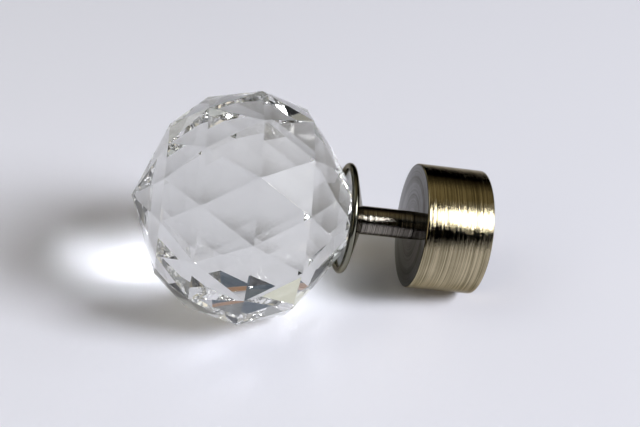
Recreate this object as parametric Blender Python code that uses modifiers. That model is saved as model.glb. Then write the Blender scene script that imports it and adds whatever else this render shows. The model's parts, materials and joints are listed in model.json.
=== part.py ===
"""Curtain rod finial, lying at rest on its side.

A cut crystal ball sits in a dished metal cup. A thin turned neck joins the cup to a round end cap, whose
open end slips over the pole. Sizes are in metres and +Z is up. The long axis leans down towards the cap,
because the ball is wider than the cap.
"""

from math import atan, cos, hypot, pi, radians, sin, sqrt, tan

import bmesh
import bpy
from mathutils import Vector

MM = 0.001

# Clearance left between two pieces that touch
FIT_GAP = 0.3 * MM

# Crystal ball: its rings of corners, from the tip to the shoulder, as shares of the ball's radius
BALL_RADIUS = 30.0 * MM
FACETS_ROUND = 12
CUT_RINGS = (
    # height, radius, turned by half a facet
    (-0.960, 0.000, False),
    (-0.710, 0.637, True),
    (-0.423, 0.883, False),
    (0.000, 1.000, True),
    (0.423, 0.883, False),
    (0.667, 0.563, True),
)
SHOULDER_ANGLE = radians(55.77)  # how far the last facets lean in from the axis, towards the seat
SEAT_RADIUS = 6.3 * MM  # corners of the small flat seat inside the cup

# Cup: a dished sheet with a rolled rim
CUP_SHEET = 1.1 * MM
CUP_ANGLE = radians(18.4)  # how far the dish leans forward from flat
CUP_BEAD_RADIUS = 0.9 * MM
CUP_RIM_GAP = 1.6 * MM  # between the rolled rim and the crystal
HUB_LAND = 0.2 * MM  # flat ring on the cup's back round the neck

# Neck: the turned rod between the cup and the cap
NECK_RADIUS = 3.7 * MM
NECK_LENGTH = 13.0 * MM
NECK_CHAMFER = 0.2 * MM

# End cap: closed towards the ball, open towards the pole
CAP_RADIUS = 16.25 * MM
CAP_LENGTH = 17.2 * MM
CAP_WALL = 1.6 * MM
CAP_FACE = 2.0 * MM
CAP_EDGE = 0.35 * MM

# Roundness of the turned pieces
TURNED_SIDES = 96
EDGE_STEPS = 3
BEAD_STEPS = 10
FLAT_WITHIN = radians(0.1)
MERGE_WITHIN = 0.01 * MM
ROLL_STEP = radians(0.01)


def clear_scene():
    """Empty the file of the objects it starts with."""
    for obj in list(bpy.data.objects):
        bpy.data.objects.remove(obj, do_unlink=True)


def finish(name, color, metallic, roughness, **more):
    """A Principled material; more holds further sockets, by name with _ for each space."""
    material = bpy.data.materials.new(name)
    material.use_nodes = True
    shader = material.node_tree.nodes["Principled BSDF"]
    shader.inputs["Base Color"].default_value = (*color, 1.0)
    shader.inputs["Metallic"].default_value = metallic
    shader.inputs["Roughness"].default_value = roughness
    for socket, value in more.items():
        shader.inputs[socket.replace("_", " ")].default_value = value
    return material


def add_piece(name, mesh, collection, parent, material):
    """Link one sub-part into the finial's collection under its parent empty."""
    piece = bpy.data.objects.new(name, mesh)
    mesh.materials.append(material)
    collection.objects.link(piece)
    piece.parent = parent
    return piece


def arc(center_radius, center_height, radius, start, end, steps):
    """Section points along an arc; its angles run from outward (0) towards the cap (90 degrees)."""
    angles = [start + (end - start) * step / steps for step in range(steps + 1)]
    return [(center_radius + radius * cos(angle), center_height + radius * sin(angle)) for angle in angles]


def turn(name, section, collection, parent, material):
    """Revolve a section of (radius, height) points about the finial's axis."""
    mesh = bpy.data.meshes.new(name)
    points = [(radius, 0.0, height) for radius, height in section]
    edges = [(index, index + 1) for index in range(len(points) - 1)]
    mesh.from_pydata(points, edges, [])
    piece = add_piece(name, mesh, collection, parent, material)
    screw = piece.modifiers.new("turned", "SCREW")
    screw.axis = "Z"
    screw.angle = 2 * pi
    screw.steps = TURNED_SIDES
    screw.render_steps = TURNED_SIDES
    screw.use_merge_vertices = True
    screw.merge_threshold = MERGE_WITHIN
    screw.use_smooth_shade = True
    return piece


def ball_rings():
    """Height, radius and half-facet turn of every ring of corners, from the tip to the seat."""
    rings = [(height * BALL_RADIUS, radius * BALL_RADIUS, half) for height, radius, half in CUT_RINGS]
    shoulder_height, shoulder_radius, half = rings[-1]
    seat_height = shoulder_height + (shoulder_radius - SEAT_RADIUS) / tan(SHOULDER_ANGLE)
    rings.append((seat_height, SEAT_RADIUS, half))
    return rings


def ball_corners():
    """Every corner of the cut ball, with its centre at the origin and the cap towards +Z."""
    corners = []
    facet = 2 * pi / FACETS_ROUND
    for height, radius, half in ball_rings():
        count = FACETS_ROUND if radius > 0 else 1
        for index in range(count):
            angle = facet * (index + (0.5 if half else 0.0))
            corners.append(Vector((radius * cos(angle), radius * sin(angle), height)))
    return corners


def build_ball(collection, parent, material):
    """The crystal ball: the solid between all the flat cuts, which is the hull of their corners."""
    form = bmesh.new()
    for corner in ball_corners():
        form.verts.new(corner)
    bmesh.ops.convex_hull(form, input=form.verts)
    bmesh.ops.dissolve_limit(form, angle_limit=FLAT_WITHIN, verts=form.verts, edges=form.edges)
    bmesh.ops.recalc_face_normals(form, faces=form.faces)
    mesh = bpy.data.meshes.new("crystal_ball")
    form.to_mesh(mesh)
    form.free()
    return add_piece("crystal_ball", mesh, collection, parent, material)


def cup_places():
    """Radii and heights of the cup's hub and rolled rim, worked out from the crystal seated in it."""
    seat_height, seat_radius, _ = ball_rings()[-1]
    slope = tan(CUP_ANGLE)
    back_land = NECK_RADIUS + HUB_LAND
    front_land = back_land - CUP_SHEET * tan(CUP_ANGLE / 2)
    front_height = seat_height + FIT_GAP / cos(CUP_ANGLE) + slope * (seat_radius - front_land)
    back_height = front_height + CUP_SHEET

    # The rim's centre lies on a line under the cup's back and on a line clear of the crystal's shoulder
    taper = tan(SHOULDER_ANGLE)
    center_line = back_height + slope * back_land - CUP_BEAD_RADIUS / cos(CUP_ANGLE)
    clear = (CUP_RIM_GAP + CUP_BEAD_RADIUS) * hypot(1, taper)
    clear_line = seat_radius + taper * seat_height + clear
    rim_radius = (clear_line - taper * center_line) / (1 - taper * slope)
    rim_height = center_line - slope * rim_radius
    return {
        "back": (back_land, back_height),
        "front": (front_land, front_height),
        "rim": (rim_radius, rim_height),
    }


def build_cup(collection, parent, material):
    """The dished cup: a flat hub, a leaning sheet and a rim rolled towards the crystal."""
    places = cup_places()
    back_radius, back_height = places["back"]
    front_radius, front_height = places["front"]
    rim_radius, rim_height = places["rim"]

    # The rim's arc starts where the back of the sheet meets it and ends where it meets the front
    start = pi / 2 - CUP_ANGLE
    depth = (CUP_SHEET - CUP_BEAD_RADIUS) / CUP_BEAD_RADIUS
    end = start - 2 * pi + (pi / 2 - atan(depth / sqrt(1 - depth * depth)))
    section = [(0.0, back_height), (back_radius, back_height)]
    section += arc(rim_radius, rim_height, CUP_BEAD_RADIUS, start, end, BEAD_STEPS)
    section += [(front_radius, front_height), (0.0, front_height)]
    return turn("cup", section, collection, parent, material)


def build_neck(collection, parent, material):
    """The neck: a plain rod with its end edges broken, between the cup's back and the cap's face."""
    bottom = neck_bottom()
    top = bottom + NECK_LENGTH
    inner = NECK_RADIUS - NECK_CHAMFER
    section = [
        (0.0, top),
        (inner, top),
        (NECK_RADIUS, top - NECK_CHAMFER),
        (NECK_RADIUS, bottom + NECK_CHAMFER),
        (inner, bottom),
        (0.0, bottom),
    ]
    return turn("neck", section, collection, parent, material)


def neck_bottom():
    """Height at which the neck starts, just clear of the cup's back."""
    return cup_places()["back"][1] + FIT_GAP


def cap_face_height():
    """Height of the cap's closed face, just clear of the neck."""
    return neck_bottom() + NECK_LENGTH + FIT_GAP


def build_cap(collection, parent, material):
    """The end cap: a closed face, a straight wall and an open socket for the pole."""
    face = cap_face_height()
    mouth = face + CAP_LENGTH
    floor = face + CAP_FACE
    bore = CAP_RADIUS - CAP_WALL
    edge = CAP_RADIUS - CAP_EDGE
    section = [(0.0, floor), (bore, floor), (bore, mouth)]
    section += arc(edge, mouth - CAP_EDGE, CAP_EDGE, pi / 2, 0.0, EDGE_STEPS)
    section += arc(edge, face + CAP_EDGE, CAP_EDGE, 0.0, -pi / 2, EDGE_STEPS)
    section += [(0.0, face)]
    return turn("end_cap", section, collection, parent, material)


def lean_for(roll):
    """Tangent of the axis's lean when the ball is rolled this far, with the cap's open rim on the table."""
    rim_height = cap_face_height() + CAP_LENGTH - CAP_EDGE
    leans = []
    for corner in ball_corners():
        down = corner.x * cos(roll) + corner.y * sin(roll)
        leans.append((down - CAP_RADIUS) / (rim_height - corner.z))
    return max(leans)


def resting_pose():
    """Roll and lean at which the finial lies with its weight lowest."""
    steps = int(pi / FACETS_ROUND / ROLL_STEP)
    roll = min((ROLL_STEP * step for step in range(steps + 1)), key=lean_for)
    return roll, atan(lean_for(roll))


def set_on_origin(pose, pieces):
    """Move the finial so that the middle of its underside box is at the world's origin."""
    bpy.context.view_layer.update()
    graph = bpy.context.evaluated_depsgraph_get()
    points = []
    for piece in pieces:
        evaluated = piece.evaluated_get(graph)
        mesh = evaluated.to_mesh()
        points += [evaluated.matrix_world @ vertex.co for vertex in mesh.vertices]
        evaluated.to_mesh_clear()
    low = Vector(min(point[axis] for point in points) for axis in range(3))
    high = Vector(max(point[axis] for point in points) for axis in range(3))
    middle = (low + high) / 2
    pose.location -= Vector((middle.x, middle.y, low.z))


def main():
    """Build the finial, lay it down and shade its round pieces."""
    clear_scene()
    collection = bpy.data.collections.new("curtain_rod_finial")
    bpy.context.scene.collection.children.link(collection)
    pose = bpy.data.objects.new("resting_pose", None)
    collection.objects.link(pose)

    crystal = finish("cut_crystal", (0.96, 0.98, 0.98), 0.0, 0.0, Transmission_Weight=1.0, IOR=1.55)
    cup_metal = finish("cup_brass", (0.42, 0.40, 0.31), 1.0, 0.30)
    neck_metal = finish("neck_brass", (0.36, 0.33, 0.27), 1.0, 0.28)
    cap_metal = finish("brushed_brass", (0.47, 0.42, 0.29), 1.0, 0.34)

    ball = build_ball(collection, pose, crystal)
    cup = build_cup(collection, pose, cup_metal)
    neck = build_neck(collection, pose, neck_metal)
    cap = build_cap(collection, pose, cap_metal)

    roll, lean = resting_pose()
    ball.rotation_euler.z = -roll
    pose.rotation_euler.y = pi / 2 + lean
    set_on_origin(pose, [ball, cup, neck, cap])


main()
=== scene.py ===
"""Looks of a curtain rod finial: a cut crystal ball, a dished cup, a turned neck and a brushed end cap.

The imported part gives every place. Each sub-assembly below builds its own finished meshes about the
finial's axis, dresses them and hands them to the frame.
"""

import json
import logging
from dataclasses import dataclass
from enum import Enum
from math import asin, cos, hypot, pi, radians, sin, tan
from typing import Any, Sequence

import bmesh
import bpy
from mathutils import Matrix, Vector


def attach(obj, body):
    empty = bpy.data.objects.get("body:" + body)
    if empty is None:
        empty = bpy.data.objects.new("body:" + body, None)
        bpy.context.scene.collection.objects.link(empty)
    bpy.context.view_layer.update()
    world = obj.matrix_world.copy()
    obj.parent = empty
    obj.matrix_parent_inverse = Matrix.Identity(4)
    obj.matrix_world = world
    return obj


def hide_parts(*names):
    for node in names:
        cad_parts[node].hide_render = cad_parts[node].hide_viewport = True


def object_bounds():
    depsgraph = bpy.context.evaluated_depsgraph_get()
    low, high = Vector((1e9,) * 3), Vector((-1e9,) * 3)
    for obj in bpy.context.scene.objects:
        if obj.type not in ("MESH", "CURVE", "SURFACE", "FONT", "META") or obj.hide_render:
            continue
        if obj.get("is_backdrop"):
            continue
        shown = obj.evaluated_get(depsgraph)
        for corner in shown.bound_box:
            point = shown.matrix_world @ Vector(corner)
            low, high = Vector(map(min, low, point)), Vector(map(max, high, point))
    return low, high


MM = 0.001
BODY = "root"
SHARP_ANGLE = radians(28)
MERGE = 0.01 * MM

log = logging.getLogger("finial")

Section = list[tuple[float, float]]
Color = tuple[float, float, float]
Stops = Sequence[tuple[float, Color]]


class Slot(Enum):
    """Material slots of the record."""

    CRYSTAL = "crystal"
    CUP = "cup_metal"
    NECK = "neck_metal"
    CAP = "cap_metal"


@dataclass(frozen=True)
class Axis:
    """The finial's own axis in the row frame, with its origin at the floor of the cap's socket."""

    origin: Vector
    direction: Vector

    @classmethod
    def from_record(cls, record: dict[str, Any]) -> "Axis":
        """Read the axis from the mount at the socket's floor.

        Args:
            record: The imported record.

        Returns:
            The axis, pointing out of the cap's mouth.
        """
        mount = next(m for m in record["mounts"] if m["name"] == "pole_socket_floor")
        return cls(Vector(mount["pos_m"]), Vector(mount["axis"]).normalized())

    @property
    def matrix(self) -> Matrix:
        """Place a mesh that is built about local Z, with local X pointing down, in the row frame.

        Returns:
            The matrix from local coordinates to the row frame.
        """
        across = Vector((0.0, 1.0, 0.0))
        down = across.cross(self.direction)
        turn = Matrix((down, across, self.direction)).transposed()
        return Matrix.Translation(self.origin) @ turn.to_4x4()

    def corners_of(self, node: str) -> list[Vector]:
        """Give the separate corners of a CAD node, in local coordinates.

        Args:
            node: Name of the CAD node.

        Returns:
            The node's corners, each once.
        """
        inverse = self.matrix.inverted()
        form = bmesh.new()
        form.from_mesh(frame["nodes"][node].data)
        bmesh.ops.remove_doubles(form, verts=form.verts, dist=MERGE)
        corners = [inverse @ vertex.co for vertex in form.verts]
        form.free()
        return corners

    def reach_of(self, node: str) -> tuple[float, float, float]:
        """Give the lowest height, highest height and largest radius of a CAD node.

        Args:
            node: Name of the CAD node.

        Returns:
            Lowest height, highest height and largest radius, in metres.
        """
        corners = self.corners_of(node)
        heights = [corner.z for corner in corners]
        return min(heights), max(heights), max(hypot(corner.x, corner.y) for corner in corners)


class Nodes:
    """Adds nodes to one node tree, of a material, the world or a geometry group."""

    def __init__(self, tree: bpy.types.NodeTree) -> None:
        """Keep the tree that the nodes go into."""
        self.tree = tree

    def add(
        self,
        kind: str,
        settings: dict[str, Any] | None = None,
        inputs: dict[int | str, Any] | None = None,
    ) -> bpy.types.Node:
        """Add one node, set it up and feed its inputs.

        Args:
            kind: The node's type name.
            settings: Properties of the node, set before its inputs; stops are a ramp's stops.
            inputs: Values, sockets or Values for its input sockets, by name or number.

        Returns:
            The new node.
        """
        node = self.tree.nodes.new(kind)
        for name, setting in (settings or {}).items():
            if name == "stops":
                self._set_stops(node, setting)
            else:
                setattr(node, name, setting)
        for key, value in (inputs or {}).items():
            self.feed(node.inputs[key], value)
        return node

    def feed(self, socket: bpy.types.NodeSocket, value: Any) -> None:
        """Link a socket or Value into an input, or set the input to a plain value.

        Args:
            socket: The input.
            value: What it gets.
        """
        if isinstance(value, Value):
            self.tree.links.new(value.socket, socket)
        elif isinstance(value, bpy.types.NodeSocket):
            self.tree.links.new(value, socket)
        else:
            socket.default_value = value

    @staticmethod
    def _set_stops(node: bpy.types.Node, stops: Stops) -> None:
        """Replace the stops of a ramp.

        Args:
            node: The ramp's node.
            stops: Its new stops, as (place, colour).
        """
        elements = node.color_ramp.elements
        while len(elements) > 1:
            elements.remove(elements[-1])
        for index, (place, color) in enumerate(stops):
            element = elements[0] if index == 0 else elements.new(place)
            element.position = place
            element.color = (*color, 1.0)

    def value(
        self, kind: str, output: int | str, settings: dict[str, Any], inputs: dict[int | str, Any]
    ) -> "Value":
        """Add a node and wrap one of its outputs as a Value."""
        return Value(self, self.add(kind, settings, inputs).outputs[output])


class Value:
    """A number that varies over a surface, with Python's arithmetic."""

    def __init__(self, nodes: Nodes, socket: bpy.types.NodeSocket) -> None:
        """Wrap an output socket of a node in that tree."""
        self.nodes = nodes
        self.socket = socket

    def _math(self, operation: str, *terms: Any) -> "Value":
        """Add a Math node on the terms, which are Values or numbers."""
        return self.nodes.value("ShaderNodeMath", 0, {"operation": operation}, dict(enumerate(terms)))

    def __add__(self, other: Any) -> "Value":
        """Add."""
        return self._math("ADD", self, other)

    __radd__ = __add__

    def __sub__(self, other: Any) -> "Value":
        """Subtract."""
        return self._math("SUBTRACT", self, other)

    def __rsub__(self, other: Any) -> "Value":
        """Subtract this from a number."""
        return self._math("SUBTRACT", other, self)

    def __mul__(self, other: Any) -> "Value":
        """Multiply."""
        return self._math("MULTIPLY", self, other)

    __rmul__ = __mul__

    def __truediv__(self, other: Any) -> "Value":
        """Divide."""
        return self._math("DIVIDE", self, other)

    def __rtruediv__(self, other: Any) -> "Value":
        """Divide a number by this."""
        return self._math("DIVIDE", other, self)

    def smooth(self, low: float, high: float) -> "Value":
        """Rise smoothly from 0 at low to 1 at high."""
        settings = {"interpolation_type": "SMOOTHSTEP"}
        return self.nodes.value("ShaderNodeMapRange", 0, settings, {0: self, 1: low, 2: high, 3: 0.0, 4: 1.0})


@dataclass(frozen=True)
class Strokes:
    """Noise drawn out round the axis: its cycles a metre, its finer octaves and their weight."""

    across: float
    along: float
    detail: float = 3.0
    roughness: float = 0.55

    def times(self, across: float, along: float) -> "Strokes":
        """Multiply the cycles across the axis and along it."""
        return Strokes(self.across * across, self.along * along, self.detail, self.roughness)


class Surface:
    """A Principled material and the patterns that it reads, in the finial's own coordinates."""

    ring_detail = 3.0
    ring_roughness = 0.6

    def __init__(self, name: str, axis: Axis) -> None:
        """Make the material and its coordinates: Z along the axis, from the socket's floor.

        Args:
            name: Name of the material.
            axis: The finial's axis.
        """
        self.material = bpy.data.materials.new(name)
        self.material.use_nodes = True
        self.nodes = Nodes(self.material.node_tree)
        self.shader = self.material.node_tree.nodes["Principled BSDF"]
        source = self.nodes.add("ShaderNodeTexCoord").outputs["Object"]
        turn = axis.matrix.to_euler("XYZ")
        mapping = self.nodes.add(
            "ShaderNodeMapping",
            {"vector_type": "TEXTURE"},
            {"Vector": source, "Location": axis.origin, "Rotation": turn},
        )
        self.place = mapping.outputs["Vector"]
        parts = self.nodes.add("ShaderNodeSeparateXYZ", None, {0: self.place}).outputs
        flat = self.nodes.add("ShaderNodeCombineXYZ", None, {0: parts[0], 1: parts[1]}).outputs[0]
        self.radius = self.nodes.value("ShaderNodeVectorMath", "Value", {"operation": "LENGTH"}, {0: flat})

    def set(self, **values: Any) -> None:
        """Feed the shader's sockets, named with _ for each space."""
        for name, value in values.items():
            self.nodes.feed(self.shader.inputs[name.replace("_", " ")], value)

    def stretched(self, strokes: Strokes) -> Value:
        """Add noise drawn out round the axis.

        Args:
            strokes: Its cycles, octaves and their weight.

        Returns:
            A value about 0.5, from 0 to 1.
        """
        cycles = (strokes.across, strokes.across, strokes.along)
        scaled = self.nodes.add("ShaderNodeVectorMath", {"operation": "MULTIPLY"}, {0: self.place, 1: cycles})
        inputs = {
            "Vector": scaled.outputs[0],
            "Scale": 1.0,
            "Detail": strokes.detail,
            "Roughness": strokes.roughness,
        }
        return self.nodes.value("ShaderNodeTexNoise", 0, {"noise_dimensions": "3D"}, inputs)

    def rings(self, pitch: float) -> Value:
        """Add noise that changes with the radius alone, for marks turned on a flat face.

        Args:
            pitch: Width of one cycle.

        Returns:
            A value about 0.5, from 0 to 1.
        """
        inputs = {
            "W": self.radius * (1.0 / pitch),
            "Scale": 1.0,
            "Detail": self.ring_detail,
            "Roughness": self.ring_roughness,
        }
        return self.nodes.value("ShaderNodeTexNoise", 0, {"noise_dimensions": "1D"}, inputs)

    def color(
        self, shade: Value, places: tuple[float, float], colors: tuple[Color, Color]
    ) -> bpy.types.NodeSocket:
        """Turn a value into a colour, by a ramp that has the two colours at the two places."""
        settings = {"stops": tuple(zip(places, colors))}
        return self.nodes.add("ShaderNodeValToRGB", settings, {0: shade}).outputs[0]

    def bump(self, height: Value, depth: float) -> bpy.types.NodeSocket:
        """Make a normal from a height pattern whose range of 0 to 1 is this deep."""
        inputs = {"Strength": 1.0, "Distance": depth, "Height": height}
        return self.nodes.add("ShaderNodeBump", None, inputs).outputs[0]


@dataclass(frozen=True)
class CutCrystal:
    """Clear polished crystal, see-through by plain values."""

    tint: Color = (0.845, 0.845, 0.825)
    ior: float = 1.50

    def build(self, axis: Axis) -> bpy.types.Material:
        """Make the crystal.

        Args:
            axis: The finial's axis.

        Returns:
            The material.
        """
        surface = Surface("cut_crystal", axis)
        surface.set(Base_Color=(*self.tint, 1.0), Roughness=0.0, IOR=self.ior, Transmission_Weight=1.0)
        return surface.material


@dataclass(frozen=True)
class BrushedBrass:
    """Antique brass brushed or turned round the axis."""

    name: str
    dark: Color
    light: Color
    roughness: tuple[float, float] = (0.06, 0.09)
    lines: float = 14000.0
    around: float = 40.0
    depth: float = 0.042 * MM
    grazing: Color = (0.55, 0.51, 0.44)

    # Shares of the lines and of the cycles round the axis
    groove_strokes: Strokes = Strokes(across=0.1, along=1.0, detail=2.0, roughness=0.6)
    fine_strokes: Strokes = Strokes(across=1.0, along=0.8, roughness=0.7)
    broad_strokes: Strokes = Strokes(across=0.6, along=0.22, detail=2.0)

    stain_strokes: Strokes = Strokes(across=120.0, along=160.0, detail=4.0)
    broad_share: float = 0.5
    stain_share: float = 0.175
    color_places: tuple[float, float] = (0.39, 0.60)
    rough_places: tuple[float, float] = (0.3, 0.7)

    def build(self, axis: Axis) -> bpy.types.Material:
        """Make the brass: fine lines round the axis, broken here and there, over a faint stain.

        Args:
            axis: The finial's axis.

        Returns:
            The material.
        """
        surface = Surface(self.name, axis)
        grooves = surface.stretched(self.groove_strokes.times(self.around, self.lines))
        fine = surface.stretched(self.fine_strokes.times(self.around, self.lines))
        broad = surface.stretched(self.broad_strokes.times(self.around, self.lines))
        stain = surface.stretched(self.stain_strokes)
        fine_share = 1.0 - self.broad_share - self.stain_share
        shade = fine * fine_share + broad * self.broad_share + stain * self.stain_share
        low, high = self.roughness
        surface.set(
            Base_Color=surface.color(shade, self.color_places, (self.dark, self.light)),
            Metallic=1.0,
            Specular_Tint=(*self.grazing, 1.0),
            Roughness=low + (high - low) * broad.smooth(*self.rough_places),
            Normal=surface.bump(grooves, self.depth),
        )
        return surface.material


@dataclass(frozen=True)
class PolishedFace:
    """The cap's flat face: polished after turning, with faint rings left; their dark olive and pale grey are
    painted sheen and painted reflection.
    """

    # Painted reflection: the dark olive stands for shade reflected in the face, the pale grey for the
    # reflected table
    dark: Color = (0.035, 0.028, 0.014)
    light: Color = (0.19, 0.185, 0.18)
    color_places: tuple[float, float] = (0.40, 0.57)
    pitch: float = 0.45 * MM
    pitches_in_sheen_band: int = 5
    depth: float = 0.005 * MM
    cloud_strokes: Strokes = Strokes(across=180.0, along=180.0, detail=4.0)
    ring_share: float = 0.2
    sheen_band_share: float = 0.6
    cloud_share: float = 0.2
    least_rough: float = 0.05
    cloud_rough: float = 0.08
    grazing: Color = (0.73, 0.73, 0.73)

    def build(self, axis: Axis) -> bpy.types.Material:
        """Make the face: rings round the axis, coloured as painted sheen, and a soft cloudy polish.

        Args:
            axis: The finial's axis.

        Returns:
            The material.
        """
        surface = Surface("polished_face_and_painted_sheen", axis)
        rings = surface.rings(self.pitch)
        sheen_bands = surface.rings(self.pitch * self.pitches_in_sheen_band)
        cloud = surface.stretched(self.cloud_strokes)
        # Painted sheen: the rings and bands lay light and dark into the face's colour
        shade = rings * self.ring_share + sheen_bands * self.sheen_band_share + cloud * self.cloud_share
        surface.set(
            Base_Color=surface.color(shade, self.color_places, (self.dark, self.light)),
            Metallic=1.0,
            Specular_Tint=(*self.grazing, 1.0),
            Roughness=self.least_rough + cloud * self.cloud_rough,
            Normal=surface.bump(rings, self.depth),
        )
        return surface.material


def fine_mesh(obj: bpy.types.Object, name: str) -> bpy.types.Mesh:
    """Turn an object with its modifiers into a plain mesh and drop the object.

    Args:
        obj: The object, whose modifiers are evaluated.
        name: Name of the mesh.

    Returns:
        The finished mesh.
    """
    bpy.context.view_layer.update()
    graph = bpy.context.evaluated_depsgraph_get()
    mesh = bpy.data.meshes.new_from_object(obj.evaluated_get(graph), depsgraph=graph)
    mesh.name = name
    bpy.data.objects.remove(obj, do_unlink=True)
    return mesh


def rough_object(
    name: str, points: Sequence[Sequence[float]], edges: Sequence[tuple[int, int]]
) -> bpy.types.Object:
    """Link an object that holds bare points and edges for modifiers to work on.

    Args:
        name: Name of the object and its mesh.
        points: Its points.
        edges: Pairs of points, by number.

    Returns:
        The object.
    """
    mesh = bpy.data.meshes.new(name)
    mesh.from_pydata([tuple(point) for point in points], edges, [])
    obj = bpy.data.objects.new(name, mesh)
    bpy.context.scene.collection.objects.link(obj)
    return obj


def arc(center: tuple[float, float], radius: float, start: float, end: float, steps: int) -> Section:
    """Section points along an arc.

    Args:
        center: Radius and height of the arc's centre.
        radius: The arc's own radius.
        start: First angle, from outward (0) towards the mouth (a quarter turn).
        end: Last angle.
        steps: How many stretches the arc has.

    Returns:
        Points as (radius, height).
    """
    angles = [start + (end - start) * step / steps for step in range(steps + 1)]
    return [(center[0] + radius * cos(angle), center[1] + radius * sin(angle)) for angle in angles]


def turned(name: str, section: Section, sides: int) -> bpy.types.Mesh:
    """Revolve a section, which runs down its outer side, about local Z.

    Args:
        name: Name of the mesh.
        section: Points as (radius, height).
        sides: Faces round the axis.

    Returns:
        A closed mesh with smooth faces and sharp edges.
    """
    points = [(radius, 0.0, height) for radius, height in section]
    obj = rough_object(name, points, [(index, index + 1) for index in range(len(points) - 1)])
    screw = obj.modifiers.new("turned", "SCREW")
    screw.axis = "Z"
    screw.angle = 2 * pi
    screw.steps = sides
    screw.render_steps = sides
    screw.use_merge_vertices = True
    screw.merge_threshold = MERGE
    mesh = fine_mesh(obj, name)
    mesh.shade_smooth()
    mesh.set_sharp_from_angle(angle=SHARP_ANGLE)
    return mesh


class GeometryTree:
    """A geometry node group with named inputs, run once on an object."""

    def __init__(self, name: str, sockets: dict[str, str]) -> None:
        """Make the group with its inputs.

        Args:
            name: Name of the group.
            sockets: Socket type of each named input.
        """
        self.tree = bpy.data.node_groups.new(name, "GeometryNodeTree")
        face = self.tree.interface
        face.new_socket("Geometry", in_out="INPUT", socket_type="NodeSocketGeometry")
        self.keys: dict[str, str] = {}
        for label, kind in sockets.items():
            self.keys[label] = face.new_socket(label, in_out="INPUT", socket_type=kind).identifier
        face.new_socket("Geometry", in_out="OUTPUT", socket_type="NodeSocketGeometry")
        self.nodes = Nodes(self.tree)
        self.given = self.nodes.add("NodeGroupInput").outputs

    def number(self, label: str) -> Value:
        """Wrap one of the group's inputs as a Value."""
        return Value(self.nodes, self.given[label])

    def finish(self, geometry: bpy.types.NodeSocket) -> None:
        """Realize what the tree made, give it its material and put it out.

        Args:
            geometry: What the tree made.
        """
        real = self.nodes.add("GeometryNodeRealizeInstances", None, {0: geometry})
        painted = self.nodes.add(
            "GeometryNodeSetMaterial", None, {"Geometry": real.outputs[0], "Material": self.given["Material"]}
        )
        self.nodes.add("NodeGroupOutput", None, {0: painted.outputs[0]})

    def run(self, obj: bpy.types.Object, values: dict[str, Any], name: str) -> bpy.types.Mesh:
        """Run the tree on an object.

        Args:
            obj: The object that the tree reads.
            values: A value for each named input.
            name: Name of the mesh made.

        Returns:
            The mesh made.
        """
        modifier = obj.modifiers.new(self.tree.name, "NODES")
        modifier.node_group = self.tree
        for label, value in values.items():
            modifier[self.keys[label]] = value
        return fine_mesh(obj, name)


@dataclass
class Piece:
    """One finished piece, ready for the frame."""

    name: str
    mesh: bpy.types.Mesh
    slot: Slot
    nodes: tuple[str, ...]

    def hand_over(self, axis: Axis) -> None:
        """Give the piece to the frame, as an object at the origin with its place in its mesh.

        Args:
            axis: The finial's axis.
        """
        self.mesh.transform(axis.matrix)
        obj = bpy.data.objects.new(self.name, self.mesh)
        bpy.context.scene.collection.objects.link(obj)
        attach(obj, BODY)
        if self.nodes:
            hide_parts(*self.nodes)
        log.info("%s: %d faces, slot %s", self.name, len(self.mesh.polygons), self.slot.value)


@dataclass
class CrystalBall:
    """The cut ball, whose one column of corners repeats round the axis."""

    axis: Axis
    finish: CutCrystal = CutCrystal()
    edge: float = 0.015 * MM
    edge_steps: int = 1
    edge_profile: float = 0.5
    flat_within: float = radians(0.1)
    ring_digits: int = 2

    def column(self) -> tuple[list[Vector], int]:
        """One corner of each ring, and how many corners a ring has.

        Returns:
            The corners from the tip to the seat, and the count.
        """
        rings: dict[float, list[Vector]] = {}
        for corner in self.axis.corners_of("crystal_ball"):
            rings.setdefault(round(corner.z / MM, self.ring_digits), []).append(corner)
        count = max(len(ring) for ring in rings.values())
        return [rings[height][0] for height in sorted(rings)], count

    def cut_tree(self) -> GeometryTree:
        """The tree that repeats the column round the axis and cuts flat facets between all corners.

        Returns:
            The tree, with the number of facets and the material as inputs.
        """
        tree = GeometryTree("cut_ball", {"Facets": "NodeSocketInt", "Material": "NodeSocketMaterial"})
        nodes = tree.nodes
        copies = nodes.add(
            "GeometryNodeDuplicateElements",
            {"domain": "POINT"},
            {"Geometry": tree.given["Geometry"], "Amount": tree.given["Facets"]},
        )
        index = Value(nodes, copies.outputs["Duplicate Index"])
        position = nodes.add("GeometryNodeInputPosition")
        turn = nodes.add(
            "ShaderNodeVectorRotate",
            {"rotation_type": "Z_AXIS"},
            {"Vector": position.outputs[0], "Angle": index * 2 * pi / tree.number("Facets")},
        )
        placed = nodes.add(
            "GeometryNodeSetPosition",
            None,
            {"Geometry": copies.outputs["Geometry"], "Position": turn.outputs[0]},
        )
        hull = nodes.add("GeometryNodeConvexHull", None, {0: placed.outputs[0]})
        tree.finish(hull.outputs[0])
        return tree

    def build(self) -> Piece:
        """Cut the ball and break its edges a little, as polishing does.

        Returns:
            The ball.
        """
        corners, count = self.column()
        material = self.finish.build(self.axis)
        points = rough_object("crystal_ball_corners", corners, [])
        mesh = self.cut_tree().run(points, {"Facets": count, "Material": material}, "crystal_ball_cut")
        form = bmesh.new()
        form.from_mesh(mesh)
        bmesh.ops.remove_doubles(form, verts=form.verts, dist=MERGE)
        bmesh.ops.dissolve_limit(form, angle_limit=self.flat_within, verts=form.verts, edges=form.edges)
        bmesh.ops.bevel(
            form,
            geom=list(form.edges),
            offset=self.edge,
            offset_type="OFFSET",
            segments=self.edge_steps,
            profile=self.edge_profile,
            affect="EDGES",
            clamp_overlap=True,
        )
        bmesh.ops.recalc_face_normals(form, faces=form.faces)
        form.to_mesh(mesh)
        form.free()
        return Piece("cut_crystal_ball", mesh, Slot.CRYSTAL, ("crystal_ball",))


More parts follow.
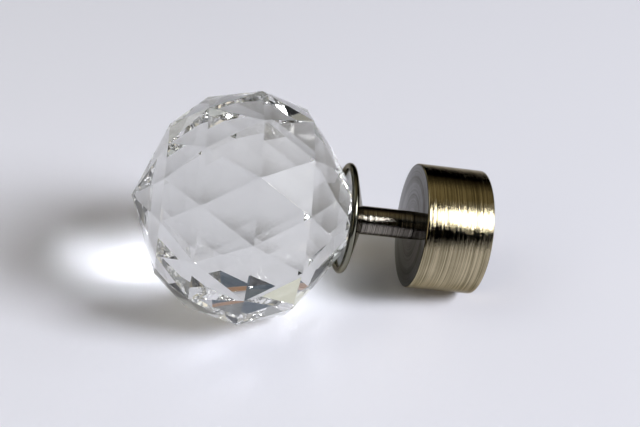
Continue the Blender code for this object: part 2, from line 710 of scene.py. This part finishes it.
@dataclass
class Cup:
    """The dished cup with its rolled rim."""

    axis: Axis
    sheet: float = 1.1 * MM
    lean: float = radians(18.4)
    bead: float = 0.9 * MM
    land: float = 0.2 * MM
    bead_steps: int = 20
    sides: int = 192
    beads_to_painted_reflection: float = 2.2
    finish: BrushedBrass = BrushedBrass(
        "cup_brass", (0.05, 0.05, 0.042), (0.22, 0.215, 0.17), (0.12, 0.2), lines=5000.0, depth=0.01 * MM
    )
    # Painted reflection: the cup's front behind the crystal is coloured pale and bluish, like the table that
    # it reflects
    painted_reflection_finish: BrushedBrass = BrushedBrass(
        "cup_painted_reflection", (0.55, 0.57, 0.60), (0.80, 0.82, 0.85), (0.40, 0.55), lines=2000.0, depth=0.005 * MM
    )

    def section(self) -> Section:
        """The cup's section from the middle of its back, over the rim, to the middle of its front.

        Returns:
            Points as (radius, height).
        """
        lowest, back, widest = self.axis.reach_of("cup")
        neck = self.axis.reach_of("neck")[2]
        rim = (widest - self.bead, lowest + self.bead)
        back_land = neck + self.land
        front_land = back_land - self.sheet * tan(self.lean / 2)
        start = pi / 2 - self.lean
        depth = (self.sheet - self.bead) / self.bead
        end = start - 3 * pi / 2 - asin(depth)
        section = [(0.0, back), (back_land, back)]
        section += arc(rim, self.bead, start, end, self.bead_steps)
        section += [(front_land, back - self.sheet), (0.0, back - self.sheet)]
        return section

    def build(self) -> Piece:
        """Turn the cup and dress it; its front behind the crystal is coloured pale and bluish, a painted
        reflection of the table.

        Returns:
            The cup.
        """
        mesh = turned("cup_turned", self.section(), self.sides)
        finishes = (self.finish, self.painted_reflection_finish)
        for finish in finishes:
            mesh.materials.append(finish.build(self.axis))
        # Painted reflection on the cup's front, inside this radius
        painted_reflection_within = self.axis.reach_of("cup")[2] - self.beads_to_painted_reflection * self.bead
        for polygon in mesh.polygons:
            if polygon.normal.z < 0 and hypot(polygon.center.x, polygon.center.y) < painted_reflection_within:
                polygon.material_index = finishes.index(self.painted_reflection_finish)
        return Piece("dished_cup", mesh, Slot.CUP, ("cup",))


@dataclass
class Neck:
    """The turned neck, with fine ridges left by the tool."""

    axis: Axis
    closing: float = 0.28 * MM
    chamfer: float = 0.15 * MM
    bare_end: float = 0.30 * MM
    sides: int = 160
    ridge: float = 0.10 * MM
    proud: float = 0.018 * MM
    pitch: float = 0.37 * MM
    wire_sides: int = 6
    seed: int = 7
    finish: BrushedBrass = BrushedBrass(
        "neck_brass", (0.025, 0.021, 0.018), (0.36, 0.33, 0.29), (0.03, 0.06), lines=14000.0, depth=0.055 * MM
    )

    def ridge_tree(self) -> GeometryTree:
        """The tree that sets rings in a row along the axis, each a little larger or smaller by chance.

        Returns:
            The tree, with its sizes, its seed and the material as inputs.
        """
        sizes = {
            "Count": "NodeSocketInt",
            "Start": "NodeSocketFloat",
            "Pitch": "NodeSocketFloat",
            "Radius": "NodeSocketFloat",
            "Wire": "NodeSocketFloat",
            "Spread": "NodeSocketFloat",
            "Sides": "NodeSocketInt",
            "Wire Sides": "NodeSocketInt",
            "Seed": "NodeSocketInt",
            "Material": "NodeSocketMaterial",
        }
        tree = GeometryTree("neck_ridges", sizes)
        nodes, given = tree.nodes, tree.given
        start = nodes.add("ShaderNodeCombineXYZ", None, {2: given["Start"]})
        step = nodes.add("ShaderNodeCombineXYZ", None, {2: given["Pitch"]})
        line = nodes.add(
            "GeometryNodeMeshLine",
            {"mode": "OFFSET"},
            {"Count": given["Count"], "Start Location": start.outputs[0], "Offset": step.outputs[0]},
        )
        path, wire = (
            nodes.add(
                "GeometryNodeCurvePrimitiveCircle",
                None,
                {"Resolution": given[sides], "Radius": given[radius]},
            ).outputs[0]
            for sides, radius in (("Sides", "Radius"), ("Wire Sides", "Wire"))
        )
        ring = nodes.add("GeometryNodeCurveToMesh", None, {"Curve": path, "Profile Curve": wire})
        chance = nodes.add(
            "FunctionNodeRandomValue",
            {"data_type": "FLOAT"},
            {2: 1.0 - tree.number("Spread"), 3: 1.0 + tree.number("Spread"), "Seed": given["Seed"]},
        )
        flat = nodes.add("ShaderNodeCombineXYZ", None, {0: chance.outputs[1], 1: chance.outputs[1], 2: 1.0})
        rows = nodes.add(
            "GeometryNodeInstanceOnPoints",
            None,
            {"Points": line.outputs[0], "Instance": ring.outputs[0], "Scale": flat.outputs[0]},
        )
        tree.finish(rows.outputs[0])
        return tree

    def build(self) -> list[Piece]:
        """Turn the rod, lay its ridges and dress both.

        Returns:
            The rod and its ridges.
        """
        low, high, radius = self.axis.reach_of("neck")
        low, high = low - self.closing, high + self.closing
        inner = radius - self.chamfer
        section = [
            (0.0, high),
            (inner, high),
            (radius, high - self.chamfer),
            (radius, low + self.chamfer),
            (inner, low),
            (0.0, low),
        ]
        material = self.finish.build(self.axis)
        rod = turned("neck_rod", section, self.sides)
        rod.materials.append(material)
        count = int((high - low - 2 * self.bare_end) / self.pitch)
        first = (low + high - self.pitch * (count - 1)) / 2
        values = {
            "Count": count,
            "Start": first,
            "Pitch": self.pitch,
            "Radius": radius + self.proud - self.ridge,
            "Wire": self.ridge,
            "Spread": self.proud / radius / 2,
            "Sides": self.sides,
            "Wire Sides": self.wire_sides,
            "Seed": self.seed,
            "Material": material,
        }
        holder = rough_object("neck_ridge_rows", [(0.0, 0.0, 0.0)], [])
        ridges = self.ridge_tree().run(holder, values, "neck_ridges")
        ridges.shade_smooth()
        return [
            Piece("turned_neck", rod, Slot.NECK, ("neck",)),
            Piece("neck_ridges", ridges, Slot.NECK, ()),
        ]


@dataclass
class EndCap:
    """The end cap: polished face, brushed side and an open socket."""

    axis: Axis
    wall: float = 1.6 * MM
    front_edge: float = 0.45 * MM
    mouth_edge: float = 0.35 * MM
    inner_edge: float = 0.3 * MM
    edge_steps: int = 5
    polished_edge: float = 0.2
    sides: int = 256
    side_finish: BrushedBrass = BrushedBrass("cap_brass", (0.17, 0.145, 0.085), (0.50, 0.43, 0.29))
    face_finish: PolishedFace = PolishedFace()
    inside_finish: BrushedBrass = BrushedBrass(
        "socket_brass", (0.16, 0.13, 0.09), (0.40, 0.35, 0.24), (0.34, 0.55), lines=2400.0
    )

    def section(self) -> Section:
        """The cap's section from the socket's floor, over the mouth, to the middle of the face.

        Returns:
            Points as (radius, height); the floor is at height 0.
        """
        face, mouth, radius = self.axis.reach_of("end_cap")
        bore = radius - self.wall
        inner, outer, front = self.inner_edge, self.mouth_edge, self.front_edge
        roundings = (
            # centre, radius, first angle, last angle
            ((bore - inner, inner), inner, -pi / 2, 0.0),
            ((bore + inner, mouth - inner), inner, pi, pi / 2),
            ((radius - outer, mouth - outer), outer, pi / 2, 0.0),
            ((radius - front, face + front), front, 0.0, -pi / 2),
        )
        section = [(0.0, 0.0)]
        for center, edge, start, end in roundings:
            section += arc(center, edge, start, end, self.edge_steps)
        section += [(0.0, face)]
        return section

    def build(self) -> Piece:
        """Turn the cap and dress its face, side and inside.

        Returns:
            The cap.
        """
        mesh = turned("cap_turned", self.section(), self.sides)
        finishes = (self.side_finish, self.face_finish, self.inside_finish)
        for finish in finishes:
            mesh.materials.append(finish.build(self.axis))
        face, mouth, radius = self.axis.reach_of("end_cap")
        half_edge = self.inner_edge / 2
        inside = radius - self.wall + half_edge
        for polygon in mesh.polygons:
            center = polygon.center
            if center.z < face + self.front_edge * self.polished_edge:
                polygon.material_index = finishes.index(self.face_finish)
            elif hypot(center.x, center.y) < inside and center.z < mouth - half_edge:
                polygon.material_index = finishes.index(self.inside_finish)
        return Piece("brushed_end_cap", mesh, Slot.CAP, ("end_cap",))


@dataclass(frozen=True)
class Viewpoint:
    """Where the camera stands, in the row frame."""

    place: tuple[float, float, float] = (-9.90 * MM, -210.14 * MM, 169.08 * MM)
    azimuth: float = radians(-3.116)
    elevation: float = radians(34.377)
    roll: float = radians(-2.175)
    lens: float = 55.93
    sensor: float = 36.0
    nearest: float = 0.01
    farthest: float = 100.0

    def build(self) -> None:
        """Make the camera and look through it."""
        data = bpy.data.cameras.new("camera")
        data.lens = self.lens
        data.sensor_width = self.sensor
        data.clip_start = self.nearest
        data.clip_end = self.farthest
        back = Vector(
            (
                sin(self.azimuth) * cos(self.elevation),
                -cos(self.azimuth) * cos(self.elevation),
                sin(self.elevation),
            )
        )
        level = Vector((cos(self.azimuth), sin(self.azimuth), 0.0))
        right = level * cos(self.roll) + back.cross(level) * sin(self.roll)
        turn = Matrix((right, back.cross(right), back)).transposed().to_4x4()
        camera = bpy.data.objects.new("camera", data)
        camera.matrix_world = Matrix.Translation(Vector(self.place)) @ turn
        bpy.context.scene.collection.objects.link(camera)
        bpy.context.scene.camera = camera


@dataclass(frozen=True)
class SoftLight:
    """A rectangular soft light that looks at the finial; its bearing and height are in degrees."""

    name: str
    bearing: float
    height: float
    distance: float
    size: tuple[float, float]
    power: float
    color: Color

    def build(self, aim: Vector) -> None:
        """Hang the light and turn it to a point.

        Args:
            aim: The point that it looks at.
        """
        data = bpy.data.lights.new(self.name, "AREA")
        data.shape = "RECTANGLE"
        data.size, data.size_y = self.size
        data.energy = self.power
        data.color = self.color
        bearing, height = radians(self.bearing), radians(self.height)
        out = Vector((cos(bearing) * cos(height), sin(bearing) * cos(height), sin(height)))
        lamp = bpy.data.objects.new(self.name, data)
        lamp.location = aim + out * self.distance
        lamp.rotation_euler = out.to_track_quat("Z", "Y").to_euler()
        lamp.visible_camera = False
        bpy.context.scene.collection.objects.link(lamp)


@dataclass(frozen=True)
class Studio:
    """The plain pale table, the soft lights, and a pale upper room that shows only through the crystal."""

    half_width: float = 3.0
    below: float = 0.01 * MM
    table: Color = (0.80, 0.81, 0.91)
    table_roughness: float = 0.6
    room: Color = (0.96, 1.0, 1.0)
    room_strength: float = 0.28
    room_rise: tuple[float, float] = (0.12, 0.42)
    bounces: int = 32
    clamp: float = 30.0
    blur: float = 0.1
    lights: tuple[SoftLight, ...] = (
        # name, bearing, height, distance, size, power, colour
        SoftLight("window", -32, 34, 3.0, (0.95, 1.15), 107.0, (0.97, 0.98, 1.0)),
        SoftLight("curtain", -20, 34, 3.2, (1.6, 1.1), 16.0, (0.96, 0.98, 1.0)),
        SoftLight("ceiling", 90, 82, 1.0, (2.0, 0.80), 0.9, (1.0, 0.85, 0.48)),
        SoftLight("ceiling edge", 90, 76, 1.0, (2.0, 1.25), 0.65, (1.0, 0.85, 0.5)),
        SoftLight("far card", 113, 15, 1.5, (0.45, 0.5), 0.5, (1.0, 1.0, 0.86)),
        SoftLight("left wall", 180, 58, 1.5, (1.0, 1.0), 2.4, (0.92, 0.97, 1.0)),
        SoftLight("near wall", -140, 30, 1.5, (1.0, 1.0), 2.8, (1.0, 0.88, 0.66)),
        SoftLight("far left wall", 130, 32, 1.5, (0.9, 0.6), 0.5, (0.97, 1.0, 0.97)),
        SoftLight("blue card", 90, 2.4, 1.5, (1.1, 0.16), 0.05, (0.42, 0.68, 1.0)),
        SoftLight("orange card", 90, -0.83, 1.5, (1.1, 0.012), 0.012, (1.0, 0.52, 0.24)),
    )

    def build(self, aim: Vector) -> None:
        """Lay the table and light it.

        Args:
            aim: Point that the lights look at.
        """
        self.lay_table()
        for light in self.lights:
            light.build(aim)
        self.set_room()
        scene = bpy.context.scene
        scene.view_settings.view_transform = "Standard"
        scene.cycles.max_bounces = self.bounces
        scene.cycles.glossy_bounces = self.bounces
        scene.cycles.transmission_bounces = self.bounces
        scene.cycles.sample_clamp_indirect = self.clamp
        scene.cycles.blur_glossy = self.blur

    def set_room(self) -> None:
        """Make the room, which brightens upwards and which the table and the metal don't see."""
        world = bpy.data.worlds.new("room")
        world.use_nodes = True
        background = world.node_tree.nodes["Background"]
        background.inputs["Color"].default_value = (*self.room, 1.0)
        nodes = Nodes(world.node_tree)
        way = nodes.add("ShaderNodeTexCoord").outputs["Object"]
        up = Value(nodes, nodes.add("ShaderNodeSeparateXYZ", None, {0: way}).outputs[2])
        nodes.feed(background.inputs["Strength"], self.room_strength * up.smooth(*self.room_rise))
        world.cycles_visibility.diffuse = False
        world.cycles_visibility.glossy = False
        bpy.context.scene.world = world

    def lay_table(self) -> None:
        """Make the table top under the finial."""
        form = bmesh.new()
        bmesh.ops.create_grid(form, x_segments=1, y_segments=1, size=self.half_width)
        mesh = bpy.data.meshes.new("table")
        form.to_mesh(mesh)
        form.free()
        mesh.transform(Matrix.Translation((0.0, 0.0, -self.below)))
        material = bpy.data.materials.new("table_white")
        material.use_nodes = True
        nodes = Nodes(material.node_tree)
        shader = material.node_tree.nodes["Principled BSDF"]
        nodes.feed(shader.inputs["Base Color"], (*self.table, 1.0))
        nodes.feed(shader.inputs["Roughness"], self.table_roughness)
        mesh.materials.append(material)
        table = bpy.data.objects.new("table", mesh)
        bpy.context.scene.collection.objects.link(table)
        table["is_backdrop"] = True


def boxed(bounds: Any) -> list[list[float]]:
    """A box as plain lists of numbers."""
    return [[float(number) for number in corner] for corner in bounds]


def main(cad_box: list[list[float]]) -> None:
    """Build every sub-assembly in order and hand its pieces to the frame.
    """
    logging.basicConfig(level=logging.INFO, format="%(name)s: %(message)s")
    axis = Axis.from_record(frame["record"])
    Viewpoint().build()
    pieces = [CrystalBall(axis).build(), Cup(axis).build(), *Neck(axis).build(), EndCap(axis).build()]
    for piece in pieces:
        piece.hand_over(axis)
    low, high = (Vector(corner) for corner in cad_box)
    Studio().build((low + high) / 2)


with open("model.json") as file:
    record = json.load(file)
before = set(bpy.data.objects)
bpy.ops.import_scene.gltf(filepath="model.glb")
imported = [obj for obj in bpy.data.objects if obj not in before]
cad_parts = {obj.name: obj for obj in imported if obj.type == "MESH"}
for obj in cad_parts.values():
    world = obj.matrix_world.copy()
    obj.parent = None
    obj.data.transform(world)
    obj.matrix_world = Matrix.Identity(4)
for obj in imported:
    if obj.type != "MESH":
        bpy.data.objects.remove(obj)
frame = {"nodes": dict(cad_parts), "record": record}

if __name__ == "__main__":
    main(boxed(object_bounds()))
